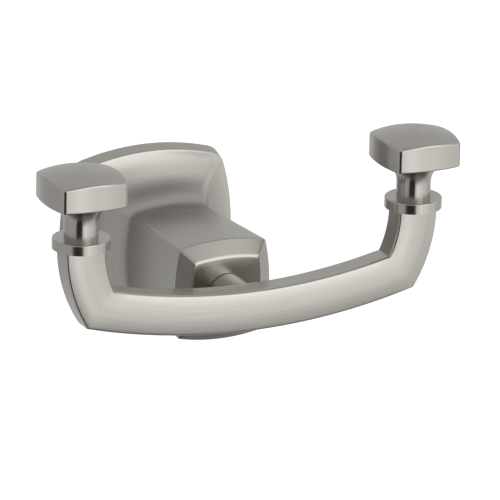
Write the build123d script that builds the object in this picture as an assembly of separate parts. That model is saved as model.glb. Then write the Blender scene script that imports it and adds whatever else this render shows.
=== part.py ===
"""Double robe hook: a wall post carrying a U-shaped bar with a finial on each arm.

Millimetres. X runs to the right, Z up, and the wall is the plane Y = 0 with the hook standing out
along -Y. The origin is on the wall, on the post's axis.
"""
import math
import os

from build123d import *

# Wall plate and post
PLATE_WIDTH = 56.1         # across the middle of two opposite sides, at the rim's front edge
PLATE_HEIGHT = 54.2
PLATE_RISE = 1.4           # the plate's middle above the post's axis
PLATE_BOW_RADIUS = 75.5    # radius of a bowed side at that edge
PLATE_CORNER_RADIUS = 5.5
RIM_DEPTH = 5.0
RIM_DRAFT = 0.85           # how far the rim widens on each side towards the wall
COVE_REACH = 29.0          # from the post's axis, where the cove would run out flat past the rim
BOW_CENTRE = 47.0          # how far behind the post's axis each of its sides is turned
NECK_SIZE = 29.2           # the post where the cove begins
NECK_DEPTH = 20.0
POST_END_SIZE = 32.4       # the post flares a little towards its end
POST_DEPTH = 63.5
BEVEL_WIDTH = 4.6
BEVEL_DEPTH = 3.8
BEVEL_EDGE_RADIUS = 2.0
CREASE_RADIUS = 1.0
POST_WALL = 3.0
END_WALL = 8.0
CORE_DRAFT = 0.6           # how far the hollow narrows on each side towards the post's end

# U-shaped bar
BAR_HEIGHT = 12.8
BAR_DEPTH = 7.9            # edge to edge, without the crown of the front
BAR_CROWN = 0.95
BAR_EDGE_RADIUS = 0.6
BAR_SAG_RADIUS = 201.0     # radius of the sagging middle line
ARM_RADIUS = 40.4          # radius of an arm's middle line, which ends upright
ARM_SPACING = 111.0
ARM_RISE = 26.0            # top of an arm above the middle of the bar
BAR_STANDOFF = 10.9        # length of the boss between post and bar
BOSS_DIAMETER = 12.4
BOSS_CHAMFER = 0.5         # where the boss meets the post

# Square spigot of the boss and the bolt that holds it
SPIGOT_SIZE = 7.0
SPIGOT_LENGTH = 4.0
BOLT_DIAMETER = 5.0
BOLT_HEAD_DIAMETER = 8.5
BOLT_HEAD_HEIGHT = 5.0
BOLT_SOCKET = 4.0          # across the flats
BOLT_REACH = 7.0           # how far the bolt goes into the boss beyond the post's face

# Finials
COLLAR_DIAMETER = 17.7
COLLAR_THICKNESS = 3.3
COLLAR_EDGE_RADIUS = 0.4
SPOOL_DIAMETER = 10.6
SPOOL_FOOT_RADIUS = 0.3
SPOOL_STRAIGHT = 4.7       # height of the plain part, from the collar
SPOOL_FLARE_HEIGHT = 6.5
SPOOL_FLARE_DIAMETER = 20.0
HEAD_SIZE = 23.9           # across the middle of two opposite sides
HEAD_BOW_RADIUS = 40.5
HEAD_HEIGHT = 10.1         # at the middle of the domed top
HEAD_DOME_RADIUS = 43.0
HEAD_CORNER_RADIUS = 2.0
HEAD_EDGE_RADIUS = 0.5
STUD_DIAMETER = 5.0
STUD_LENGTH = 9.0

# Hidden wall bracket and the set screw under the plate
BRACKET_LENGTH = 40.0
BRACKET_HEIGHT = 20.0
BRACKET_THICKNESS = 3.0
BRACKET_CORNER_RADIUS = 4.0
SCREW_SPACING = 28.0
SCREW_HOLE_DIAMETER = 4.5
SCREW_HEAD_DIAMETER = 7.5
BLOCK_WIDTH = 16.0
BLOCK_FOOT = 12.0          # height of the dovetail block at the bracket's face
BLOCK_FRONT = 16.0         # and at its front
BLOCK_DEPTH = 10.0
LIP_WIDTH = 10.0           # rib in the post that hangs on the block
LIP_DEPTH = 6.0
SET_SCREW_DIAMETER = 4.0
SET_SCREW_LENGTH = 10.0
SET_SCREW_SOCKET = 2.0     # across the flats
SET_SCREW_POINT = 1.2      # radius of the flat tip

# Clearances
SLIDE = 0.1                # a stud, spigot or screw in its hole, on each side
SEAT = 0.02                # between two faces that bear on each other
BOLT_PLAY = 0.2            # the bolt in the post's end wall, on each side

# Length of a curve's handles, as a share of the way to the corner, that makes a quarter round
QUARTER_ROUND = 4 / 3 * math.tan(math.pi / 8)

ARM_X = ARM_SPACING / 2
BAR_BACK = POST_DEPTH + BAR_STANDOFF
BAR_EDGE = BAR_BACK + BAR_DEPTH
ARM_Y = -(BAR_BACK + BAR_EDGE) / 2
CORE_DEPTH = POST_DEPTH - END_WALL
BLOCK_END = BRACKET_THICKNESS + BLOCK_DEPTH
SET_SCREW_DEPTH = BRACKET_THICKNESS + 0.6 * BLOCK_DEPTH


def outward(shape):
    """Turn a shape built along +Z, with Y up, so that it stands out from the wall."""
    return Rot(90, 0, 0) * shape


def turned_side(side, bow_centre):
    """A block with one bowed face, on the right, from that side's section.

    The section lies in the XZ plane, with X measured from the body's axis. It is turned about a
    line set back behind that axis, which bows the side.
    """
    turned = revolve(Pos(bow_centre, 0, 0) * side, Axis.Z)
    return Pos(-bow_centre, 0, 0) * Rot(0, 0, 180) * turned


def bowed_square(side, bow_centre):
    """Four like turned faces that meet at the corners: one quarter, repeated round the axis."""
    right = turned_side(side, bow_centre)
    reach = right.bounding_box().max
    with BuildSketch() as quarter:
        with BuildLine():
            Polyline((0, 0), (reach.X, -reach.X), (reach.X, reach.X), close=True)
        make_face()
    wedge = right & extrude(quarter.sketch, reach.Z)
    return wedge + [Rot(0, 0, turn) * wedge for turn in (90, 180, 270)]


def long_edges(solid, length):
    """The edges that climb at least a given height, which are the creases at the corners."""
    return [edge for edge in solid.edges() if edge.bounding_box().size.Z > length]


def cove(side, rim):
    """The hollow quarter round from the foot of a sloping side to the rim, where it runs out flat."""
    foot = side @ 1
    slope = side % 1
    corner = foot + slope * ((rim.Y - foot.Y) / slope.Y)
    Bezier(foot, foot + (corner - foot) * QUARTER_ROUND, rim + (corner - rim) * QUARTER_ROUND, rim)


def post_section():
    """Rim, cove, flaring post and bevel, from the bow's centre line to the outside."""
    rim = (COVE_REACH, RIM_DEPTH)
    neck = (NECK_SIZE / 2, NECK_DEPTH)
    end = (POST_END_SIZE / 2, POST_DEPTH - BEVEL_DEPTH)
    face = (POST_END_SIZE / 2 - BEVEL_WIDTH, POST_DEPTH)
    with BuildSketch(Plane.XZ) as section:
        with BuildLine():
            Polyline((-BOW_CENTRE, 0), (COVE_REACH + RIM_DRAFT, 0), rim)
            cove(Line(end, neck), Vector(*rim))
            Polyline(end, face, (-BOW_CENTRE, POST_DEPTH), (-BOW_CENTRE, 0))
        make_face()
        fillet(section.vertices().sort_by_distance(face)[0], BEVEL_EDGE_RADIUS)
    return section.sketch


def rim_pair(size, inset):
    """Two opposite sides of the rim, their slope carried on past the post."""
    bow_centre = PLATE_BOW_RADIUS - size / 2
    wall = size / 2 + RIM_DRAFT - inset
    front = wall - RIM_DRAFT / RIM_DEPTH * POST_DEPTH
    with BuildSketch(Plane.XZ) as section:
        with BuildLine():
            Polyline((-bow_centre, 0), (wall, 0), (front, POST_DEPTH), (-bow_centre, POST_DEPTH), close=True)
        make_face()
    right = turned_side(section.sketch, bow_centre)
    return right & Rot(0, 0, 180) * right


def rim_block(inset):
    """The plate's outline, or one set in from it, as a block that trims what reaches past it."""
    block = rim_pair(PLATE_WIDTH, inset) & Rot(0, 0, 90) * rim_pair(PLATE_HEIGHT, inset)
    return Pos(0, PLATE_RISE, 0) * block


def core_section():
    """The hollow behind the plate and inside the post."""
    mouth = (COVE_REACH + RIM_DRAFT - POST_WALL, 0)
    rim = (COVE_REACH - POST_WALL, RIM_DEPTH - POST_WALL)
    neck = (NECK_SIZE / 2 - POST_WALL, NECK_DEPTH)
    end = (neck[0] - CORE_DRAFT, CORE_DEPTH)
    with BuildSketch(Plane.XZ) as section:
        with BuildLine():
            Polyline((-BOW_CENTRE, 0), mouth, rim)
            draft = Line(end, neck)
            TangentArc(neck, rim, tangent=draft % 1)
            Polyline(end, (-BOW_CENTRE, CORE_DEPTH), (-BOW_CENTRE, 0))
        make_face()
    return section.sketch


def block_half(depth):
    """Half the height of the bracket's dovetail block at a depth from the wall."""
    slope = (BLOCK_FRONT - BLOCK_FOOT) / 2 / BLOCK_DEPTH
    return BLOCK_FOOT / 2 + slope * (depth - BRACKET_THICKNESS)


def lip():
    """The sloping rib inside the post that hangs on the top of the bracket's block."""
    far = BLOCK_END - 1
    near = far - LIP_DEPTH
    with BuildSketch(Plane.YZ) as section:
        with BuildLine():
            Polyline((block_half(near) + SEAT, near), (block_half(far) + SEAT, far),
                     (PLATE_HEIGHT, far), (PLATE_HEIGHT, near), close=True)
        make_face()
    return extrude(section.sketch, LIP_WIDTH / 2, both=True)


def make_wall_post():
    """The cast wall plate and post, hollow from behind."""
    post = bowed_square(post_section(), BOW_CENTRE)
    post = fillet(long_edges(post, RIM_DEPTH + BEVEL_DEPTH), CREASE_RADIUS)
    plate = rim_block(0)
    plate = fillet(long_edges(plate, POST_DEPTH / 2), PLATE_CORNER_RADIUS)
    hollow = bowed_square(core_section(), BOW_CENTRE) & rim_block(POST_WALL)
    socket = SPIGOT_SIZE + 2 * SLIDE
    socket_cut = Pos(0, 0, POST_DEPTH) * Box(socket, socket, 2 * (SPIGOT_LENGTH + SLIDE))
    bolt_cut = Pos(0, 0, POST_DEPTH) * Cylinder(BOLT_DIAMETER / 2 + BOLT_PLAY, 2 * END_WALL + 2)
    screw_cut = Pos(0, -(PLATE_HEIGHT + BLOCK_FRONT) / 2, SET_SCREW_DEPTH) * Rot(90, 0, 0) * Cylinder(
        SET_SCREW_DIAMETER / 2 + SLIDE, PLATE_HEIGHT)
    solid = (post & plate) - (hollow - lip())
    return outward(solid - socket_cut - bolt_cut - screw_cut)


def crossing(bar_radius, arm_radius):
    """Where the circle of the bar meets the circle of the right arm, below and to the right."""
    dx = ARM_X - ARM_RADIUS
    dz = ARM_RISE - BAR_SAG_RADIUS
    apart = math.hypot(dx, dz)
    along = (bar_radius ** 2 - arm_radius ** 2 + apart ** 2) / (2 * apart)
    aside = math.sqrt(bar_radius ** 2 - along ** 2)
    x = (along * dx - aside * dz) / apart
    z = BAR_SAG_RADIUS + (along * dz + aside * dx) / apart
    return x, z


def bar_path():
    """Middle line of arm, bar and arm, in the XZ plane."""
    corner_x, corner_z = crossing(BAR_SAG_RADIUS, ARM_RADIUS)
    centre_x = ARM_X - ARM_RADIUS
    half_turn = math.atan2(corner_z - ARM_RISE, corner_x - centre_x) / 2
    bend_x = centre_x + ARM_RADIUS * math.cos(half_turn)
    bend_z = ARM_RISE + ARM_RADIUS * math.sin(half_turn)
    with BuildLine(Plane.XZ) as path:
        ThreePointArc((-ARM_X, ARM_RISE), (-bend_x, bend_z), (-corner_x, corner_z))
        ThreePointArc((-corner_x, corner_z), (0, 0), (corner_x, corner_z))
        ThreePointArc((corner_x, corner_z), (bend_x, bend_z), (ARM_X, ARM_RISE))
    return path.line


def bar_section():
    """Crowned section at the top of the left arm. Its local Y runs forward from the back face."""
    half = BAR_HEIGHT / 2
    start = Plane(origin=(-ARM_X, 0, ARM_RISE), x_dir=(1, 0, 0), z_dir=(0, 0, -1))
    with BuildSketch(start) as section:
        with BuildLine():
            Polyline((-half, BAR_DEPTH), (-half, 0), (half, 0), (half, BAR_DEPTH))
            ThreePointArc((half, BAR_DEPTH), (0, BAR_DEPTH + BAR_CROWN), (-half, BAR_DEPTH))
        make_face()
        fillet(section.vertices(), BAR_EDGE_RADIUS)
    return section.sketch


def make_hook_bar():
    """The U-shaped bar with the boss on its back."""
    swept = sweep(bar_section(), path=bar_path(), transition=Transition.RIGHT)
    bar = Pos(0, -BAR_BACK, 0) * swept
    root = BAR_DEPTH / 2
    boss = Pos(0, 0, BAR_BACK - (BAR_STANDOFF - root) / 2) * Cylinder(
        BOSS_DIAMETER / 2, BAR_STANDOFF + root)
    boss = chamfer(boss.edges().sort_by(Axis.Z)[0], BOSS_CHAMFER)
    spigot = Pos(0, 0, POST_DEPTH) * Box(SPIGOT_SIZE, SPIGOT_SIZE, 2 * SPIGOT_LENGTH)
    depth = BOLT_REACH + 2 * SLIDE
    bolt_hole = Pos(0, 0, POST_DEPTH + (depth - SPIGOT_LENGTH) / 2) * Cylinder(
        BOLT_DIAMETER / 2 + SLIDE, depth + SPIGOT_LENGTH)
    stud_hole = Pos(0, ARM_Y, ARM_RISE) * Cylinder(
        STUD_DIAMETER / 2 + SLIDE, 2 * (STUD_LENGTH + SLIDE))
    solid = bar + outward(boss + spigot) - outward(bolt_hole)
    return solid - Pos(ARM_X, 0, 0) * stud_hole - Pos(-ARM_X, 0, 0) * stud_hole


def head_section():
    """Half section of a finial's head, from the bow's centre line to the outside."""
    centre = HEAD_BOW_RADIUS - HEAD_SIZE / 2
    with BuildSketch(Plane.XZ) as section:
        with Locations(((HEAD_SIZE / 2 - centre) / 2, HEAD_HEIGHT / 2)):
            Rectangle(HEAD_SIZE / 2 + centre, HEAD_HEIGHT)
    return section.sketch


def spool_section():
    """Half section of stud, collar and spool, from the arm's top upwards."""
    collar = COLLAR_DIAMETER / 2
    spool = SPOOL_DIAMETER / 2
    flare = COLLAR_THICKNESS + SPOOL_STRAIGHT
    top = flare + SPOOL_FLARE_HEIGHT
    with BuildSketch(Plane.XZ) as section:
        with BuildLine():
            Polyline((0, top), (0, -STUD_LENGTH), (STUD_DIAMETER / 2, -STUD_LENGTH),
                     (STUD_DIAMETER / 2, SEAT), (collar, SEAT), (collar, COLLAR_THICKNESS),
                     (spool, COLLAR_THICKNESS), (spool, flare))
            TangentArc((spool, flare), (SPOOL_FLARE_DIAMETER / 2, top), tangent=(0, 1))
            Line((SPOOL_FLARE_DIAMETER / 2, top), (0, top))
        make_face()
        edge = section.vertices().sort_by_distance((collar, COLLAR_THICKNESS))[0]
        fillet(edge, COLLAR_EDGE_RADIUS)
        foot = section.vertices().sort_by_distance((spool, COLLAR_THICKNESS))[0]
        fillet(foot, SPOOL_FOOT_RADIUS)
    return section.sketch


def make_finial(x):
    """Stud, collar, spool and head in one piece, standing on an arm."""
    head = bowed_square(head_section(), HEAD_BOW_RADIUS - HEAD_SIZE / 2)
    head = fillet(long_edges(head, HEAD_HEIGHT / 2), HEAD_CORNER_RADIUS)
    head = head & Pos(0, 0, HEAD_HEIGHT - HEAD_DOME_RADIUS) * Sphere(HEAD_DOME_RADIUS)
    rims = [edge for edge in head.edges() if edge.bounding_box().size.Z < HEAD_HEIGHT / 3]
    head = fillet(rims, HEAD_EDGE_RADIUS)
    spool = revolve(spool_section(), Axis.Z)
    lift = COLLAR_THICKNESS + SPOOL_STRAIGHT + SPOOL_FLARE_HEIGHT
    return Pos(x, ARM_Y, ARM_RISE) * (spool + Pos(0, 0, lift) * head)


def make_wall_bracket():
    """Bracket with two countersunk holes and the dovetail block that the post hangs on."""
    with BuildSketch() as outline:
        RectangleRounded(BRACKET_LENGTH, BRACKET_HEIGHT, BRACKET_CORNER_RADIUS)
    base = extrude(outline.sketch, BRACKET_THICKNESS)
    with BuildSketch(Plane.YZ) as side:
        with BuildLine():
            foot = BLOCK_FOOT / 2
            front = BLOCK_FRONT / 2
            Polyline((-foot, BRACKET_THICKNESS), (-front, BLOCK_END), (front, BLOCK_END),
                     (foot, BRACKET_THICKNESS), close=True)
        make_face()
    block = extrude(side.sketch, BLOCK_WIDTH / 2, both=True)
    hole = Pos(0, 0, BRACKET_THICKNESS / 2) * Cylinder(SCREW_HOLE_DIAMETER / 2, 2 * BRACKET_THICKNESS)
    sink = (SCREW_HEAD_DIAMETER - SCREW_HOLE_DIAMETER) / 2
    cone = Pos(0, 0, BRACKET_THICKNESS - sink / 2) * Cone(
        SCREW_HOLE_DIAMETER / 2, SCREW_HEAD_DIAMETER / 2, sink)
    cut = hole + cone
    aside = SCREW_SPACING / 2
    return outward(base + block - Pos(aside, 0, 0) * cut - Pos(-aside, 0, 0) * cut)


def hexagon(across_flats):
    """A hexagon for a key socket."""
    return RegularPolygon(across_flats / 2, 6, major_radius=False)


def make_set_screw():
    """Grub screw up through the cove under the plate, against the block's sloping underside."""
    tip = -block_half(SET_SCREW_DEPTH + SET_SCREW_POINT) - SEAT
    radius = SET_SCREW_DIAMETER / 2
    point = radius - SET_SCREW_POINT
    shank = SET_SCREW_LENGTH - point
    screw = Pos(0, 0, shank / 2) * Cylinder(radius, shank)
    screw += Pos(0, 0, shank + point / 2) * Cone(radius, SET_SCREW_POINT, point)
    screw -= extrude(hexagon(SET_SCREW_SOCKET), SET_SCREW_SOCKET)
    return Pos(0, -SET_SCREW_DEPTH, tip - SET_SCREW_LENGTH) * screw


def make_bar_bolt():
    """Socket-head bolt from inside the post through its end wall into the boss."""
    length = END_WALL + BOLT_REACH
    head = Pos(0, 0, CORE_DEPTH - SEAT - BOLT_HEAD_HEIGHT / 2) * Cylinder(
        BOLT_HEAD_DIAMETER / 2, BOLT_HEAD_HEIGHT)
    shank = Pos(0, 0, CORE_DEPTH - SEAT + length / 2) * Cylinder(BOLT_DIAMETER / 2, length)
    socket = Pos(0, 0, CORE_DEPTH - SEAT - BOLT_HEAD_HEIGHT) * extrude(
        hexagon(BOLT_SOCKET), BOLT_HEAD_HEIGHT / 2)
    return outward(head + shank - socket)


def main():
    """Build each piece and write it under its node's name."""
    pieces = {
        "wall_post": make_wall_post(),
        "hook_bar": make_hook_bar(),
        "finial_left": make_finial(-ARM_X),
        "finial_right": make_finial(ARM_X),
        "wall_bracket": make_wall_bracket(),
        "set_screw": make_set_screw(),
        "bar_bolt": make_bar_bolt(),
    }
    os.makedirs("parts", exist_ok=True)
    for name, piece in pieces.items():
        solids = piece.solids()
        box = piece.bounding_box()
        print(f"{name}: {len(solids)} solid, {piece.volume / 1000:.2f} cm3, "
              f"{box.size.X:.2f} x {box.size.Y:.2f} x {box.size.Z:.2f} mm, valid {piece.is_valid}")
        export_step(solids[0], os.path.join("parts", name + ".step"))


main()
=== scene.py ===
# %% [markdown]
# # A double robe hook in satin nickel
# A square wall plate sweeps up through a cove into a post. On the post's end sits a U-shaped bar, and on
# each arm of the U stands a turned finial with a square, domed head. The solids and their places come from
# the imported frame. This script gives them clean surfaces, a brushed finish and studio light.

# %% Load the frame and keep its box
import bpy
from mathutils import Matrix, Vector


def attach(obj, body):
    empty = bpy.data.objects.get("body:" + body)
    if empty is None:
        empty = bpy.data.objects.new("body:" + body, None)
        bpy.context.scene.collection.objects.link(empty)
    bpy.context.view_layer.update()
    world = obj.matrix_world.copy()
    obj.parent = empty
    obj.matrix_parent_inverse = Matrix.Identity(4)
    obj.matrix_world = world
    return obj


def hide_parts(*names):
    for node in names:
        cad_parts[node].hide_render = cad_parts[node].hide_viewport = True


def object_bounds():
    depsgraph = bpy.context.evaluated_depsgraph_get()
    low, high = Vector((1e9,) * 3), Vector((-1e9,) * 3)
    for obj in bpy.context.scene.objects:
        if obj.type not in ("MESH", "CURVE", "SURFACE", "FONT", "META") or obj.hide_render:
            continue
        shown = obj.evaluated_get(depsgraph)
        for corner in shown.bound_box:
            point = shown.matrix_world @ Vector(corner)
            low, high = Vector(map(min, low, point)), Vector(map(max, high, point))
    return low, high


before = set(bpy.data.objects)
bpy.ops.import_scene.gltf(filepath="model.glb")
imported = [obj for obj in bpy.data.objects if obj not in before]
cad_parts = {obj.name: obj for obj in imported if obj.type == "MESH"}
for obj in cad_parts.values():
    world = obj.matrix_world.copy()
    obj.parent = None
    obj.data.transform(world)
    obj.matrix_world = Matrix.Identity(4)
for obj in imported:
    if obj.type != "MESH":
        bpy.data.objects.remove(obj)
cad_box = [list(corner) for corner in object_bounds()]

import math

import bmesh
import bpy
import numpy as np
from mathutils import Matrix, Vector

MM = 0.001
scene = bpy.context.scene
print("nodes:", sorted(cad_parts))
print("box in mm:", [[round(v / MM, 2) for v in corner] for corner in cad_box])

# %% [markdown]
# ## Arithmetic on sockets
# Shaders and Geometry Nodes both do sums with Math nodes, and a sum of ten terms is ten nodes that nobody
# can read. So one small class wraps a socket, and each operator written on it adds the node for it. Every
# other kind of node comes from `place`, which sets the node's own settings first, because some settings
# change which sockets the node has.

# %% Sockets that take Python operators


def place(tree, kind, settings=None, sockets=None, out=0):
    """Add a node: its settings first, then its sockets' values or links. Gives one of its outputs."""
    node = tree.nodes.new(kind)
    for name, value in (settings or {}).items():
        setattr(node, name, value)
    for key, value in (sockets or {}).items():
        if isinstance(value, Wire):
            tree.links.new(value.socket, node.inputs[key])
        else:
            node.inputs[key].default_value = value
    return None if out is None else Wire(tree, node.outputs[out])


class Wire:
    """A node's output, with Python's operators adding Math nodes."""

    def __init__(self, tree, socket):
        self.tree = tree
        self.socket = socket

    def maths(self, operation, *others):
        """A Math node with this wire as its first term."""
        terms = dict(enumerate((self, *others)))
        return place(self.tree, "ShaderNodeMath", {"operation": operation}, terms)

    def flipped(self, operation, first):
        """A Math node with this wire as its second term."""
        return place(self.tree, "ShaderNodeMath", {"operation": operation}, {0: first, 1: self})

    def __add__(self, other):
        return self.maths("ADD", other)

    __radd__ = __add__

    def __sub__(self, other):
        return self.maths("SUBTRACT", other)

    def __rsub__(self, other):
        return self.flipped("SUBTRACT", other)

    def __mul__(self, other):
        return self.maths("MULTIPLY", other)

    __rmul__ = __mul__

    def __truediv__(self, other):
        return self.maths("DIVIDE", other)

    def __rtruediv__(self, other):
        return self.flipped("DIVIDE", other)

    def __gt__(self, other):
        return self.maths("GREATER_THAN", other)

    def __lt__(self, other):
        return self.maths("LESS_THAN", other)

    def __abs__(self):
        return self.maths("ABSOLUTE")


trial = bpy.data.node_groups.new("trial", "ShaderNodeTree")
answer = 1 - place(trial, "ShaderNodeValue") * 2
print("1 - number * 2 made", len(trial.nodes) - 1, "Math nodes, the last one", answer.socket.node.operation)
bpy.data.node_groups.remove(trial)

# %% [markdown]
# ## Camera
# The hook was photographed from its left and a little above, from far off, with the picture turned by about
# a degree. A camera could be placed by hand until the picture looks right. Here its numbers were fitted, so
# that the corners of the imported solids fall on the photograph's corners.

# %% Camera at the photograph's view
CAMERA_LEFT = 25.11
CAMERA_UP = 18.40
CAMERA_ROLL = math.radians(-1.233)
CAMERA_DISTANCE = 1.975
CAMERA_TARGET = Vector((15.49, -46.5, 6.65)) * MM
SENSOR = 36.0
LENS = 458.7
NEAREST, FARTHEST = 0.05, 50.0


def add_object(name, data):
    """Put a mesh or a camera in the scene, as an object at the origin."""
    made = bpy.data.objects.new(name, data)
    scene.collection.objects.link(made)
    return made


def towards(degrees_right, degrees_up):
    """A direction from the hook, from two angles seen by someone who faces the wall."""
    aside, up = math.radians(degrees_right), math.radians(degrees_up)
    return Vector((math.sin(aside) * math.cos(up), -math.cos(aside) * math.cos(up), math.sin(up)))


back = towards(-CAMERA_LEFT, CAMERA_UP)
level = towards(90.0 - CAMERA_LEFT, 0.0)
upward = back.cross(level)
right = level * math.cos(CAMERA_ROLL) - upward * math.sin(CAMERA_ROLL)
top = level * math.sin(CAMERA_ROLL) + upward * math.cos(CAMERA_ROLL)
seat = CAMERA_TARGET + CAMERA_DISTANCE * back

camera_data = bpy.data.cameras.new("photo_camera")
camera_data.sensor_width = SENSOR
camera_data.lens = LENS
camera_data.clip_start = NEAREST
camera_data.clip_end = FARTHEST
camera = add_object("photo_camera", camera_data)
camera.matrix_world = Matrix((*zip(right, top, back, seat), (0.0, 0.0, 0.0, 1.0)))
scene.camera = camera
print("camera at", [round(v, 3) for v in seat])

# %% [markdown]
# ## Studio
# Satin nickel has no colour of its own to speak of: what it shows is the studio, blurred. So the light is
# drawn all round the hook in the world's shader. The walls are a plain grey, a little darker at eye level
# than above and below. Soft lights, each with a bright middle and an edge where it has faded out, are added
# to the grey. Dark flags, which are the black cloths that a photographer hangs up, take light away from it.
# Area lamps would do for the lights, but not for the flags, and their square edges would show in the spools.

# %% Soft patches of light and shade


def blank(holder):
    """Give a material or a world an empty tree."""
    holder.use_nodes = True
    holder.node_tree.nodes.clear()
    return holder.node_tree


def split(wire, axes="XYZ"):
    """The parts of a vector, one wire for each axis."""
    return [place(wire.tree, "ShaderNodeSeparateXYZ", {}, {0: wire}, out=axis) for axis in axes]


def ease(value, start, end):
    """0 before the start, 1 past the end, and a soft change between them."""
    return place(value.tree, "ShaderNodeMapRange", {"interpolation_type": "SMOOTHSTEP"},
                 {"Value": value, "From Min": start, "From Max": end})


def spot(way, degrees_right, degrees_up, middle, edge):
    """A soft round patch of the studio: 1 in its middle, fading to 0 at its edge."""
    across = place(way.tree, "ShaderNodeVectorMath", {"operation": "DOT_PRODUCT"},
                   {0: way, 1: towards(degrees_right, degrees_up)}, out="Value")
    return ease(across.maths("ARCCOSINE"), math.radians(edge), math.radians(middle))


def panel(bearing, climb, left, left_fade, right, right_fade, low, low_fade, high, high_fade):
    """A patch with upright sides: 1 inside, fading to 0 at each edge."""
    width = ease(bearing, left, left + left_fade) * ease(bearing, right, right - right_fade)
    return width * ease(climb, low, low + low_fade) * ease(climb, high, high - high_fade)


scene.view_settings.view_transform = "Standard"
world = bpy.data.worlds.new("studio")
scene.world = world
sky = blank(world)
way = place(sky, "ShaderNodeTexCoord", out="Generated")
side, front, rise = split(way)
bearing = side.maths("ARCTAN2", 0 - front) * math.degrees(1.0)
climb = rise.maths("ARCSINE") * math.degrees(1.0)
print("bearing and climb of each direction:", len(sky.nodes), "nodes")

# %% Lights and flags in the world
GROUND, HORIZON, CEILING = 0.646, 0.58, 0.638
# Round ones: degrees to the right of the front, degrees up, bright middle, faded edge, strength
SOFT_LIGHTS = {
    "key": (16.1, 1.5, 19.6, 37.8, 0.449),
    "side_right": (62.2, 9.3, 0.5, 50.6, 0.458),
    "low_right": (37.9, -21.7, 24.2, 36.2, 0.276),
    "back_right": (132.0, 2.1, 55.8, 72.0, 0.11),
    "overhead": (36.0, 44.0, 3.0, 25.0, 0.62),
    "key_core": (21.5, 18.0, 6.0, 25.0, 0.95),
}
ROUND_FLAGS = {
    "behind": (180.0, 5.0, 40.0, 85.0, 0.08),
    "over_right": (82.0, 67.0, 8.0, 24.0, 0.42),
    "zenith": (0.0, 86.0, 6.0, 34.0, 0.2),
    "under_front": (24.6, -82.2, 29.3, 46.2, 0.598),
}
# Tall ones: left edge, its fade, right edge, its fade, lower edge, its fade, upper edge, its fade, strength
LIGHT_PANELS = {
    "front_panel": (-22.7, 6.8, 21.1, 15.8, -26.1, 4.2, 18.8, 2.6, 0.552),
}
DARK_CLOTHS = {
    "camera_cloth": (-62.2, 12.9, -12.6, 3.0, -88.4, 47.8, 7.1, 7.3, 0.97),
}
WHITE = (1.0, 1.0, 1.0, 1.0)

brightness = HORIZON + ease(rise, 0.0, -1.0) * (GROUND - HORIZON)
brightness = brightness + ease(rise, 0.0, 1.0) * (CEILING - HORIZON)
for *where, strength in SOFT_LIGHTS.values():
    brightness = brightness + spot(way, *where) * strength
for *where, strength in LIGHT_PANELS.values():
    brightness = brightness + panel(bearing, climb, *where) * strength
for *where, strength in ROUND_FLAGS.values():
    brightness = brightness * (1 - spot(way, *where) * strength)
for *where, strength in DARK_CLOTHS.values():
    brightness = brightness * (1 - panel(bearing, climb, *where) * strength)
seen = place(sky, "ShaderNodeLightPath", out="Is Camera Ray")
backdrop = place(sky, "ShaderNodeBackground", {}, {"Color": WHITE, "Strength": 1.0})
studio = place(sky, "ShaderNodeBackground", {}, {"Color": WHITE, "Strength": brightness})
shown = place(sky, "ShaderNodeMixShader", {}, {0: seen, 1: studio, 2: backdrop})
place(sky, "ShaderNodeOutputWorld", {}, {"Surface": shown}, out=None)
print("studio:", len(SOFT_LIGHTS) + len(LIGHT_PANELS), "lights,",
      len(ROUND_FLAGS) + len(DARK_CLOTHS), "flags,", len(sky.nodes), "nodes")

# %% [markdown]
# ## Floor
# The hook hangs on a wall that the picture leaves out, so nothing touches the floor. It lies well below the
# hook, pale, and lit a little from within where the camera looks at it, so that it joins the white backdrop
# and still takes a shadow.

# %% Pale floor
FLOOR_DROP = 0.25
FLOOR_SIZE = 12.0
FLOOR_GLOW = 0.6
FLOOR_DARK, FLOOR_BRIGHT = (0.80, 0.80, 0.80), (0.82, 0.82, 0.82)
SPECKLE_SCALE = 60.0
NOISE_DETAIL = 3.0
# The Mix node's colour sockets go by number, because it has sockets of the same names for other kinds
MIX_FROM, MIX_TO, MIX_RESULT = 6, 7, 2


def between(factor, dark, bright):
    """A colour between two tones, by a factor from 0 to 1."""
    return place(factor.tree, "ShaderNodeMix", {"data_type": "RGBA"},
                 {"Factor": factor, MIX_FROM: (*dark, 1.0), MIX_TO: (*bright, 1.0)}, out=MIX_RESULT)


floor_paint = bpy.data.materials.new("pale_floor")
paint = blank(floor_paint)
on_floor = place(paint, "ShaderNodeTexCoord", out="Object")
speckle = place(paint, "ShaderNodeTexNoise", {}, {
    "Vector": on_floor, "Scale": SPECKLE_SCALE, "Detail": NOISE_DETAIL})
matt = place(paint, "ShaderNodeBsdfDiffuse", {}, {"Color": between(speckle, FLOOR_DARK, FLOOR_BRIGHT)})
glow = place(paint, "ShaderNodeEmission", {}, {
    "Strength": place(paint, "ShaderNodeLightPath", out="Is Camera Ray") * FLOOR_GLOW})
both = place(paint, "ShaderNodeAddShader", {}, {0: matt, 1: glow})
place(paint, "ShaderNodeOutputMaterial", {}, {"Surface": both}, out=None)

floor_mesh = bpy.data.meshes.new("floor")
floor_work = bmesh.new()
bmesh.ops.create_grid(floor_work, x_segments=1, y_segments=1, size=FLOOR_SIZE / 2)
bmesh.ops.translate(floor_work, verts=floor_work.verts, vec=(0.0, 0.0, cad_box[0][2] - FLOOR_DROP))
floor_work.to_mesh(floor_mesh)
floor_work.free()
floor = add_object("floor", floor_mesh)
floor.data.materials.append(floor_paint)
floor.visible_glossy = False
print("floor", round(FLOOR_DROP / MM), "mm below the hook")

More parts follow.
